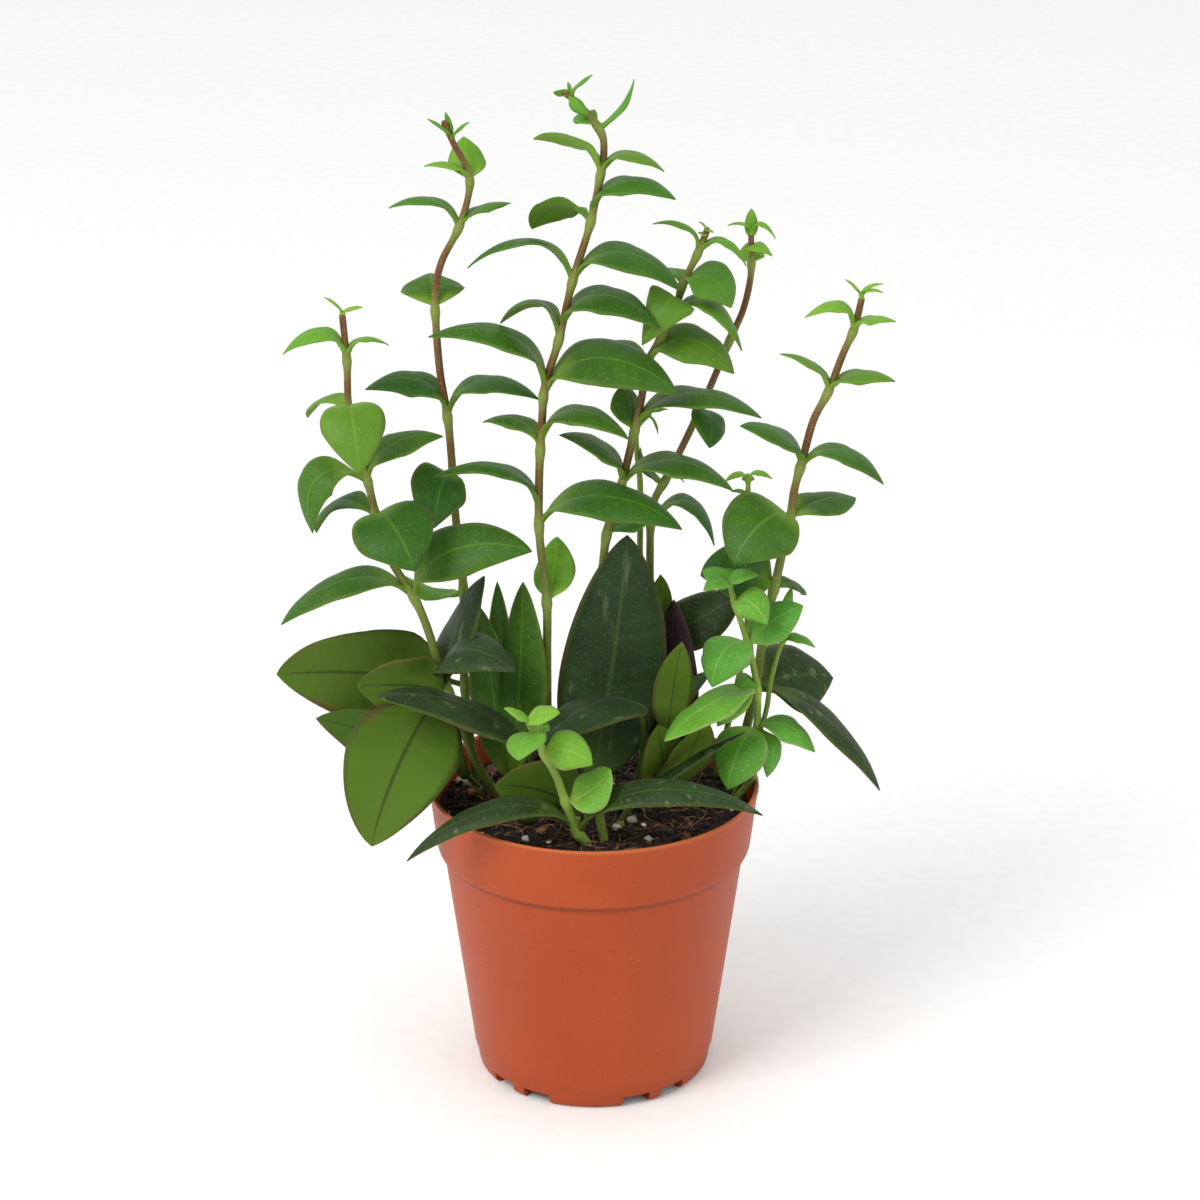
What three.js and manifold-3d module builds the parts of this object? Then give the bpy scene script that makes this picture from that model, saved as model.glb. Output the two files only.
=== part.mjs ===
// A lipstick plant in a round nursery pot. Millimetres, +Z up, the origin at the centre of the
// pot's base, -Y towards the front. The plant is a clump of slim stems with leaves in opposite
// pairs, small shoots and long basal leaves around their feet, rooted in a pot full of soil.
import * as THREE from "three";
import { mergeVertices } from "three/addons/utils/BufferGeometryUtils.js";
import Module from "manifold-3d";

const wasm = await Module();
wasm.setup();

// ---- Driving dimensions ----
const POT_HEIGHT = 93;
const RIM_R = 50;
const BAND_R = 47.5; // outer radius near the bottom edge of the rim's band
const BAND_Z = 72.8;
const WALL_TOP_R = 45.5; // outer radius of the wall just under the band
const BASE_R = 35.3;
const WALL = 1.2;
const FLOOR = 1.8;
const NOTCH_GROUPS = 5; // pairs of drain notches around the base
const NOTCH_HEIGHT = 3.6;
const NOTCH_WIDTH = 8.8;
const NOTCH_DEPTH = 9;
const NOTCH_APART = 21; // degrees between the two notches of a pair
const NOTCH_TURN = -58; // direction of the first pair, in degrees from +X
const SOIL_Z = 86;
const SOIL_BOTTOM = 2.3;
const GAP = 0.35; // clear space between neighbouring pieces
const ROOT_Z = 79; // how deep the stems go into the soil
const SWELLING = 0.85; // extra radius of the green swelling at a leaf pair
const SWELLING_HALF = 1.6;
const STALK_HALF = 0.8;
const STALK_SHARE = 0.1; // of the length of a stem's leaf
const LEAF_THICK = 1.25;
const SHORTEST_EDGE = 0.06;
const FOLD = 28; // degrees that a blade's halves rise beside the stalk
const POT_SEGMENTS = 36;
const STEM_SIDES = 6;

// A leaf is [x, y, z, width, rise, roll]: its tip from its foot, the blade's width, the height of
// the arch, and the turn about its own length in degrees.
// A stem has its route from the soil to its tip, its diameters at the two ends, its leaf pairs
// as [height of the node, leaf, leaf], and the small leaves that stay part of it, listed alike.
const STEMS = {
  stem_1: {
    route: [
      [-30, 5, 86], [-35, 4, 96], [-39, 4, 107], [-45, 2, 126], [-50, 1, 144], [-54, 0, 154],
      [-60, 0, 165], [-64, -1, 180], [-66, -2, 190], [-70, -3, 206], [-71, -4, 216],
      [-71, -5, 228], [-72, -6, 243],
    ],
    diameters: [2.9, 2],
    pairs: [
      [
        121, [-27, -5, 4, 24, 2, 75], [-22, -34, -35, 34, 5, 148], [11, 6, 35, 20, 4, 0],
        [21, -20, 15, 18, 12, 10],
      ],
      [152, [-39, -8, -5, 15, 10, -10], [35, -5, 17, 18, 10, 38]],
      [178, [12, -20, -9, 25, 7, 0], [-19, 14, -10, 14, 8, 0]],
      [190, [-16, -6, -14, 14, 12, -28], [22, 5, 12, 13, 6, 12]],
      [212, [4, -20, -12, 19, 9, 0], [-13, 12, -6, 10, 5, 0]],
    ],
    small: [
      [228, [-18, -3, 3, 9, 8, -8], [12, 2, 4, 8, 5, -15]],
      [242, [-5, -2, 6, 4, 1, 0], [6, -2, 3, 4, 1, 0]],
    ],
  },
  stem_2: {
    route: [
      [-36, 15, 86], [-39, 14, 117], [-39, 14, 149], [-41, 14, 172], [-42, 14, 191],
      [-43, 14, 204], [-45, 14, 218], [-46, 14, 233], [-46, 14, 243], [-44, 14, 252],
      [-39, 14, 262], [-36, 14, 272], [-36, 14, 279], [-40, 14, 287], [-43, 14, 294],
    ],
    diameters: [2.7, 1.8],
    pairs: [
      [118, [-57, 2, 3, 34, 3, 80]],
      [185, [-5, -18, -9, 18, 6, -40]],
      [204, [-24, -1, 9, 14, 8, -15], [27, -4, 7, 14, 9, 5]],
      [237, [-2, 14, 7, 19, 3, 0]],
      [262, [-20, 0, 6, 9, 6, 0], [15, 5, 6, 10, 3, -15]],
    ],
    small: [
      [149, [-18, 5, 3, 10, -3, 0]],
      [276, [-13, -2, 5, 7, 3, 0], [-2, 12, 10, 11, 0, 0]],
      [288, [-7, -2, 7, 4, 1, 0], [5, -2, 6, 5, 1, 0], [-2, 2, 8, 3, 0, 0]],
    ],
  },
  stem_3: {
    route: [
      [-14, 10, 86], [-14, 9, 116], [-14, 8, 130], [-14, 7, 149], [-16, 6, 170], [-16, 5, 188],
      [-15, 4, 207], [-14, 3, 218], [-10, 2, 232], [-6, 1, 250], [-1, 0, 267], [2, -1, 282],
      [3, -1, 289], [2, -1, 295], [-4, -2, 303], [-9, -2, 307],
    ],
    diameters: [2.8, 1.9],
    pairs: [
      [173, [-31, -5, 17, 12, 12, 0], [42, -11, 3, 18, 10, 15]],
      [197, [-17, 8, 6, 11, 6, 0], [26, -10, 7, 14, 11, 5]],
      [214, [-33, -5, 20, 15, 12, -5], [39, -10, 4, 20, 12, 22]],
      [232, [-17, 6, 3, 16, 10, 15], [29, -8, 6, 17, 12, 12]],
      [250, [-30, 0, 4, 15, 11, 15], [31, -6, -1, 16, 10, 12]],
      [268, [24, -8, 9, 14, 9, 10], [-17, 10, -5, 15, 6, 30]],
      [282, [-19, 6, 9, 16, 6, 30], [18, -3, 2, 10, 6, 0]],
    ],
    small: [
      [148, [3, 8, 18, 13, -2, 0]],
      [296, [10, 0, 14, 6, -2, 0], [-7, 6, 1, 7, 3, 0]],
      [305, [-5, -2, 2, 4, 1, 0], [-1, 2, 4, 3, 0, 0], [6, 2, 6, 6, 1, 0], [5, -4, -4, 4, 2, 0]],
    ],
  },
  stem_4: {
    route: [
      [0, 14, 86], [1, 13, 114], [2, 12, 147], [4, 11, 169], [8, 11, 183], [12, 10, 201],
      [14, 10, 211], [16, 9, 223], [20, 9, 231], [24, 9, 240], [26, 9, 247], [30, 8, 256],
      [33, 8, 264],
    ],
    diameters: [2.8, 1.9],
    pairs: [
      [183, [-18, -4, 18, 15, 6, -5], [33, -8, 2, 15, 9, 8]],
      [201, [37, -5, 6, 16, 10, 5], [-3, 6, 13, 13, 0, 0]],
      [222, [-18, -2, 4, 11, 5, 0], [25, -8, 0, 17, 9, 22]],
      [231, [23, -5, -3, 13, 13, 5], [-6, -12, 1, 15, 15, 0]],
      [246, [14, -8, -4, 17, 6, 25], [-9, 12, -1, 14, 4, 0]],
    ],
    small: [
      [168, [12, 5, 2, 10, 2, 0]],
      [256, [-13, 0, 9, 5, 5, 0], [14, -2, -3, 7, 6, 0]],
      [262, [-2, -1, 4, 3, 1, 0], [2, -2, 1, 3, 1, 0], [-2, -2, 1, 3, 0, 0]],
    ],
  },
  stem_5: {
    route: [
      [17, 20, 86], [17, 20, 111], [17, 21, 143], [17, 21, 166], [18, 21, 175], [22, 21, 183],
      [28, 21, 196], [34, 21, 210], [40, 22, 225], [44, 22, 235], [46, 22, 245], [46, 22, 253],
      [46, 22, 258],
    ],
    diameters: [2.6, 1.8],
    pairs: [
      [130, [27, -4, 17, 17, -1, 60], [3, -6, 24, 10, -1, 0]],
      [168, [19, -3, -6, 13, 11, 0]],
      [181, [-7, 3, 10, 8, -2, 0], [6, 0, 0, 3, 3, 0]],
      [203, [3, -14, -6, 12, 4, 0]],
      [225, [-10, 0, 11, 8, 4, 0]],
    ],
    small: [
      [249, [6, -3, 3, 9, 5, 0], [0, 6, 5, 8, -1, 0]],
      [256, [0, 2, 9, 4, 0, 0], [-7, -2, 5, 3, 3, 0], [7, -2, 1, 4, 5, 0]],
    ],
  },
  stem_6: {
    route: [
      [42, 12, 86], [48, 9, 115], [51, 7, 139], [54, 5, 155], [56, 4, 166], [58, 3, 177],
      [59, 2, 186], [61, 1, 195], [64, 0, 208], [68, -1, 217], [72, -2, 229], [75, -3, 237],
      [77, -4, 247],
    ],
    diameters: [3, 2],
    pairs: [
      [119, [24, 9, 0, 25, 3, 30], [37, -18, -25, 12, 8, 0]],
      [153, [-22, -4, 6, 18, 4, -55], [10, 6, -4, 10, 3, 0]],
      [176, [20, 10, 3, 16, 3, 0], [-17, -16, -8, 25, 7, -15]],
      [193, [-18, -6, 15, 16, 5, 0], [24, -6, -3, 13, 8, 0]],
      [217, [-14, 2, 11, 10, 4, 10], [19, -5, 5, 11, 4, 5]],
    ],
    small: [
      [236, [-14, -2, 5, 8, 7, 0], [12, -3, 4, 12, 3, -10]],
      [246, [-5, -3, 7, 5, 1, 0], [6, -1, 5, 3, 2, 0], [6, -3, 3, 3, 2, 0]],
    ],
  },
  shoot_7: {
    route: [
      [15, 27, 86], [14, 27, 141], [14, 27, 176], [13, 27, 188], [13, 27, 196], [17, 27, 201],
    ],
    diameters: [2.2, 1.5],
    pairs: [],
    small: [[200, [3, -2, -5, 2, 1, 0], [6, 0, 2, 3, 1, 0], [-2, -2, 1, 3, 0, 0]]],
  },
  shoot_8: {
    route: [[38, 22, 86], [46, 20, 131], [46, 19, 164], [46, 18, 176], [46, 18, 184]],
    diameters: [2, 1.5],
    pairs: [],
    small: [
      [176, [-5, -2, 4, 5, 2, 0], [5, -3, 0, 5, 2, 0]],
      [182, [-7, -2, 1, 5, 3, 0], [7, -2, 2, 5, 3, 0], [0, 3, 2, 4, 0, 0]],
    ],
  },
  shoot_9: {
    route: [
      [-2, -30, 86], [-5, -32, 91], [-7, -34, 98], [-9, -36, 105], [-11, -38, 112],
      [-14, -40, 119], [-16, -42, 125], [-19, -44, 132],
    ],
    diameters: [2.9, 2],
    pairs: [[90, [-50, -12, -3, 11, 15, 0], [54, -4, 8, 11, 16, 0]]],
    small: [
      [102, [13, -3, 12, 14, -2, 25]],
      [120, [14, -4, -2, 12, 4, 30]],
      [126, [-5, -12, -2, 13, 3, 0], [1, 5, 2, 7, 0, 0]],
      [131, [-7, -3, 6, 7, 1, 0], [9, -4, 5, 9, 2, 0], [6, -5, 1, 4, 2, 0]],
    ],
  },
  shoot_10: {
    route: [[3, -26, 86], [2, -26, 92], [1, -26, 106]],
    diameters: [2.8, 2.6],
    pairs: [],
    small: [],
  },
  shoot_11: {
    route: [
      [43, 1, 86], [48, 1, 94], [49, 0, 108], [49, -1, 121], [48, -2, 129], [46, -3, 138],
      [44, -4, 145], [41, -5, 155], [40, -6, 159],
    ],
    diameters: [2.5, 1.6],
    pairs: [],
    small: [
      [110, [17, -8, -4, 13, 5, 0], [-9, -13, -14, 18, 5, 0], [3, -4, -14, 8, 6, 0]],
      [123, [-28, -26, -5, 18, 4, 10], [-12, -6, -9, 8, 2, -20], [-6, -5, 0, 9, 4, -20]],
      [138, [16, 0, 13, 14, 2, 30], [-11, -12, -8, 20, 6, 0]],
      [152, [9, -8, -3, 11, 5, 20]],
      [158, [-8, 4, 4, 8, 2, 0], [-8, -5, 1, 8, 3, 0], [-1, 8, 3, 6, 1, 0], [8, -3, 5, 7, 3, 0]],
    ],
  },
  shoot_12: {
    route: [[43, 7, 86], [50, 5, 107], [52, 4, 115], [53, 3, 124], [55, 3, 133], [57, 3, 139]],
    diameters: [1.8, 1.4],
    pairs: [],
    small: [[136, [10, -2, 0, 6, 3, 10], [3, 4, 17, 6, 0, 0]]],
  },
};

// Leaves that grow straight from the soil: where their foot comes out, then the leaves, each with
// the share of its length that is stalk.
const BASAL = {
  basal_left: [[-35, 6], [-49, 4, 21, 23, 4, 80, 0.1]],
  basal_tuft: [
    [-25, 4], [4, 2, 67, 18, -1, 30, 0.1], [-9, 9, 56, 14, -1, -30, 0.1],
    [-4, 15, 62, 10, -1, 0, 0.1],
  ],
  basal_long: [[-17, -5], [-47, -15, 41, 26, 14, -6, 0.2]],
  basal_low: [[-5, -15], [-24, -13, 16, 24, 4, 80, 0.15]],
  basal_upright: [[-2, -2], [12, 8, 82, 32, -2, 45, 0.1]],
  basal_front: [[10, -9], [-28, -23, 29, 30, 28, 10, 0.42]],
  basal_dark: [[22, 8], [2, 4, 59, 17, -1, 0, 0.1], [13, -8, 40, 18, 8, 30, 0.25]],
  basal_olive: [
    [22, -3], [4, -11, 56, 12, 4, -20, 0.4], [-3, -10, 29, 17, 0, 40, 0.1],
    [11, -10, 31, 17, 0, -20, 0.1],
  ],
  basal_cross: [[8, -18], [37, 4, 27, 7, 3, 0, 0.1]],
};

// ---- Materials ----
const material = (color, roughness) =>
  new THREE.MeshStandardMaterial({ color, roughness, metalness: 0 });
const TERRACOTTA = material(0xb0552f, 0.6);
const EARTH = material(0x2b1c14, 0.95);
const STEM = material(0x5f4a2a, 0.6);
const GREEN_STEM = material(0x86a63c, 0.6);
const LEAF = material(0x3c6b24, 0.45);
const YOUNG_LEAF = material(0x78a84a, 0.5);
const OLD_LEAF = material(0x34492c, 0.5);

// ---- Geometry helpers ----
const vec = (p) => new THREE.Vector3(...p);
const UP = new THREE.Vector3(0, 0, 1);
const BACK = new THREE.Vector3(0, 1, 0);

function toSolid(geometry) {
  geometry.deleteAttribute("normal");
  geometry.deleteAttribute("uv");
  const merged = mergeVertices(geometry, 1e-4);
  return new wasm.Manifold(new wasm.Mesh({
    numProp: 3,
    vertProperties: new Float32Array(merged.attributes.position.array),
    triVerts: new Uint32Array(merged.index.array),
  }));
}

function toMesh(solid, name, look) {
  const data = solid.getMesh();
  const geometry = new THREE.BufferGeometry();
  geometry.setAttribute("position", new THREE.BufferAttribute(data.vertProperties, 3));
  geometry.setIndex(new THREE.BufferAttribute(data.triVerts, 1));
  const mesh = new THREE.Mesh(geometry, look);
  mesh.name = name;
  return mesh;
}

// A boolean can leave a sliver of a leaf beyond a stem, or edges too short to keep: the biggest
// body is the piece, without them.
function largestBody(solid) {
  let tidy = solid;
  for (let round = 0; round < 3; round++) tidy = tidy.asOriginal().simplify(SHORTEST_EDGE);
  const bodies = tidy.decompose();
  return bodies.reduce((best, body) => (body.volume() > best.volume() ? body : best));
}

// Moves the vertices of an upright cylinder of radius and height 1 with the given rule, which
// takes (x across, z out, t along from 0 to 1) and returns a point.
function bentCylinder(sides, rows, place) {
  const geometry = new THREE.CylinderGeometry(1, 1, 1, sides, rows);
  const position = geometry.attributes.position;
  for (let i = 0; i < position.count; i++) {
    const p = place(position.getX(i), position.getZ(i), position.getY(i) + 0.5);
    position.setXYZ(i, p.x, p.y, p.z);
  }
  return toSolid(geometry);
}

function curveOf(stem) {
  const [x, y] = stem.route[0];
  const points = [[x, y, ROOT_Z], ...stem.route].map(vec);
  return new THREE.CatmullRomCurve3(points, false, "catmullrom", 0.5);
}

// The stem as a tapering tube, made wider by extra and cut to the share of the route from t0 to t1.
function tube(stem, rows, extra = 0, t0 = 0, t1 = 1) {
  const curve = curveOf(stem);
  const [d0, d1] = stem.diameters;
  return bentCylinder(STEM_SIDES, rows, (x, z, s) => {
    const t = t0 + (t1 - t0) * s;
    const tangent = curve.getTangent(t);
    const across = tangent.clone().cross(BACK).normalize();
    const out = across.clone().cross(tangent);
    const r = (d0 + (d1 - d0) * t) / 2 + extra;
    return curve.getPoint(t).addScaledVector(across, x * r).addScaledVector(out, z * r);
  });
}

// The share of the stem's route at which it reaches the height z.
function shareAt(curve, z) {
  let low = 0;
  let high = 1;
  for (let i = 0; i < 30; i++) {
    const middle = (low + high) / 2;
    if (curve.getPoint(middle).z < z) low = middle;
    else high = middle;
  }
  return (low + high) / 2;
}

// A leaf arches along a cubic curve from its foot to its tip. Its section has six corners, half as
// thick at the margins as in the middle, and its halves fold up beside the stalk and open out
// further on. A leaf rolled past a right angle grows face down.
function leafSolid(foot, leaf, up) {
  const [dx, dy, dz, width, rise, roll, stalkShare = STALK_SHARE] = leaf;
  const chord = new THREE.Vector3(dx, dy, dz);
  const along = chord.clone().normalize();
  const above = up.clone().addScaledVector(along, -up.dot(along)).normalize();
  const across = along.clone().cross(above);
  const midrib = new THREE.CubicBezierCurve3(
    foot,
    foot.clone().addScaledVector(chord, 0.2).addScaledVector(above, 1.5 * rise),
    foot.clone().addScaledVector(chord, 0.75).addScaledVector(above, 1.1 * rise),
    foot.clone().add(chord),
  );
  const rows = chord.length() > 30 ? 8 : chord.length() > 12 ? 5 : 3;
  const thick = LEAF_THICK * Math.min(1, 0.5 + chord.length() / 50);
  const start = Math.abs(roll) > 90 ? 180 * Math.sign(roll) : 0;
  return bentCylinder(6, rows, (corner, z, t) => {
    const x = Math.sign(Math.round(corner * 10));
    const tangent = midrib.getTangent(t);
    const face = across.clone().cross(tangent).normalize();
    const eased = start + (roll - start) * THREE.MathUtils.smoothstep(t, 0, 0.35);
    const turn = THREE.MathUtils.degToRad(eased);
    const side = across.clone().applyAxisAngle(tangent, turn);
    face.applyAxisAngle(tangent, turn);
    const blade = THREE.MathUtils.clamp((t - stalkShare) / (1 - stalkShare), 0, 1);
    const bulge = (width / 2) * Math.max(0, Math.sin(Math.PI * blade ** 0.8)) ** 0.8;
    const stalk = Math.min(STALK_HALF, width / 5) * (1 - 0.85 * blade);
    const half = Math.max(stalk, bulge);
    const fold = THREE.MathUtils.degToRad(FOLD * Math.max(-0.3, 1 - t / 0.42));
    const depth = z * thick * 0.5 * (1 - 0.5 * t);
    const lift = Math.abs(x) * half * Math.sin(fold) + depth;
    return midrib.getPoint(t)
      .addScaledVector(side, x * half * Math.cos(fold))
      .addScaledVector(face, lift);
  });
}

const union = (solids) => solids.reduce((whole, solid) => whole.add(solid));

// ---- The plant ----
const plant = new THREE.Group();
const rooted = []; // what the soil must leave room for

for (const [name, stem] of Object.entries(STEMS)) {
  const curve = curveOf(stem);
  const rows = stem.route.length;
  const nodeAt = (z) => {
    const t = shareAt(curve, z);
    return { t, foot: curve.getPoint(t), up: curve.getTangent(t) };
  };
  const parts = [tube(stem, rows)];
  for (const [z, ...leaves] of stem.small) {
    const node = nodeAt(z);
    for (const leaf of leaves) parts.push(leafSolid(node.foot, leaf, node.up));
  }
  const look = name.startsWith("stem") ? STEM : GREEN_STEM;
  plant.add(toMesh(largestBody(union(parts)), name, look));

  const bore = tube(stem, rows, GAP);
  rooted.push(bore);
  for (const [z, ...leaves] of stem.pairs) {
    const node = nodeAt(z);
    const reach = SWELLING_HALF / curve.getLength();
    const swelling = tube(stem, 1, SWELLING + GAP, node.t - reach, node.t + reach);
    const blades = leaves.map((leaf) => leafSolid(node.foot, leaf, node.up));
    const pair = largestBody(union([swelling, ...blades]).subtract(bore));
    const age = z < 140 ? OLD_LEAF : LEAF;
    plant.add(toMesh(pair, `${name}_leaves_${z}`, age));
  }
}

for (const [name, [[x, y], ...leaves]] of Object.entries(BASAL)) {
  const foot = vec([x, y, SOIL_Z + 2]);
  const root = { route: [[x, y, SOIL_Z], [x, y, SOIL_Z + 2.5]], diameters: [2.6, 2.4] };
  const blades = leaves.map((leaf) => leafSolid(foot, leaf, UP));
  plant.add(toMesh(largestBody(union([tube(root, 2), ...blades])), name, OLD_LEAF));
  rooted.push(tube(root, 2, GAP));
}

// ---- The pot ----
const wallR = (z) => 36.6 + ((WALL_TOP_R - 36.6) * (z - 7)) / (BAND_Z - 1 - 7);
const potProfile = [
  [0, 0], [BASE_R - 1.4, 0], [BASE_R, 1.2], [wallR(7), 7], [WALL_TOP_R, BAND_Z - 1],
  [BAND_R - 0.8, BAND_Z - 0.5], [BAND_R, BAND_Z + 1.5], [RIM_R - 0.4, POT_HEIGHT - 1.6],
  [RIM_R, POT_HEIGHT - 0.8], [RIM_R - 0.6, POT_HEIGHT], [RIM_R - 1.6, POT_HEIGHT - 0.6],
  [BAND_R - WALL, BAND_Z + 2], [WALL_TOP_R - WALL, BAND_Z - 0.6], [wallR(7) - WALL, 7],
  [BASE_R - WALL, FLOOR], [0, FLOOR],
];
const lathe = (profile) => {
  const geometry = new THREE.LatheGeometry(profile.map(([r, z]) => new THREE.Vector2(r, z)),
    POT_SEGMENTS);
  geometry.rotateX(Math.PI / 2);
  return toSolid(geometry);
};
let pot = lathe(potProfile);
for (let group = 0; group < NOTCH_GROUPS; group++) {
  for (const side of [-0.5, 0.5]) {
    const angle = NOTCH_TURN + (360 / NOTCH_GROUPS) * group + side * NOTCH_APART;
    const notch = new THREE.BoxGeometry(NOTCH_DEPTH, NOTCH_WIDTH, 2 * NOTCH_HEIGHT);
    notch.translate(BASE_R + 2.5 - NOTCH_DEPTH / 2, 0, 0);
    notch.rotateZ(THREE.MathUtils.degToRad(angle));
    pot = pot.subtract(toSolid(notch));
  }
}
plant.add(toMesh(pot, "pot", TERRACOTTA));

// ---- The soil, with a socket around each stem and leaf that is rooted in it ----
const soilProfile = [
  [0, SOIL_BOTTOM], [BASE_R - WALL - 1.4, SOIL_BOTTOM], [wallR(7) - WALL - GAP, 7],
  [WALL_TOP_R - WALL - GAP, BAND_Z - 0.6], [BAND_R - WALL - GAP, BAND_Z + 2.2],
  [RIM_R - 2.8, SOIL_Z - 1.2], [RIM_R - 8, SOIL_Z - 0.3], [16, SOIL_Z - 0.2], [0, SOIL_Z],
];
let soil = lathe(soilProfile);
for (const socket of rooted) soil = soil.subtract(socket);
plant.add(toMesh(largestBody(soil), "soil", EARTH));

export default plant;
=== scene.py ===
"""A lipstick plant in a terracotta-coloured nursery pot, on a pale floor.

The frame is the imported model's: origin at the centre of the pot's base, +Z up, -Y to the front.
Named sizes are in metres, written as millimetres times MM. The plant's tables hold plain
millimetres.
"""

import math
import random

import bmesh
import bpy
from mathutils import Matrix, Vector, noise


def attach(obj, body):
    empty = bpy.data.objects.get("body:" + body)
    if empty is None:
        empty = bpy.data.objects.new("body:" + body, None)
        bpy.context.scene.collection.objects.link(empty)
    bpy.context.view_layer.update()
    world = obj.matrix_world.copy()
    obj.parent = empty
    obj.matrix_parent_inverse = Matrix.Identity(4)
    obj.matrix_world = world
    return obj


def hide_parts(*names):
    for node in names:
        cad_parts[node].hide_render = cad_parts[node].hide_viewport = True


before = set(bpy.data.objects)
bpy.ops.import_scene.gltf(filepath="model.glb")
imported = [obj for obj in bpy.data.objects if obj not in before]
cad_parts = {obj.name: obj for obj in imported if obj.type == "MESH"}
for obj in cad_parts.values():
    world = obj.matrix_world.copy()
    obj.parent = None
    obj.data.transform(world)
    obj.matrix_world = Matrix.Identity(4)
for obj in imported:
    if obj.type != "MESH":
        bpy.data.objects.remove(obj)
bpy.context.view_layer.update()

MM = 0.001

# ---- Sizes ----
POT_HEIGHT = 93 * MM
RIM_R = 50 * MM
BAND_R = 47.5 * MM
BAND_Z = 72.8 * MM
WALL_TOP_R = 45.5 * MM
BASE_R = 35.3 * MM
SEAM_R = 36.6 * MM  # outer radius where the wall meets the foot
SEAM_Z = 7 * MM
WALL = 1.2 * MM
FLOOR = 1.8 * MM
NOTCH_GROUPS = 5
NOTCH_HEIGHT = 3.6 * MM
NOTCH_WIDTH = 8.8 * MM
NOTCH_DEPTH = 9 * MM
NOTCH_APART = 21  # degrees between the two notches of a pair
NOTCH_TURN = -58
SOIL_Z = 86 * MM
SOIL_R = 47.2 * MM
SOIL_BOTTOM = 2.3 * MM
CLEAR = 0.5 * MM  # between the soil and the wall
ROOT_Z = 79  # how deep the stems start, in the tables' millimetres
STEM_SPAN = 235 * MM  # the height over which a stem's colour changes
NODE_SWELL = 0.4 * MM  # extra radius of a stem at a leaf pair
LEAF_THICK = 1.15 * MM
VEIN_RUN = 4.5  # millimetres that a side vein runs forward from midrib to margin
STALK_SHARE = 0.1
STALK_HALF = 0.85 * MM
FOLD = 28  # degrees that a blade's halves rise beside the stalk

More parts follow.
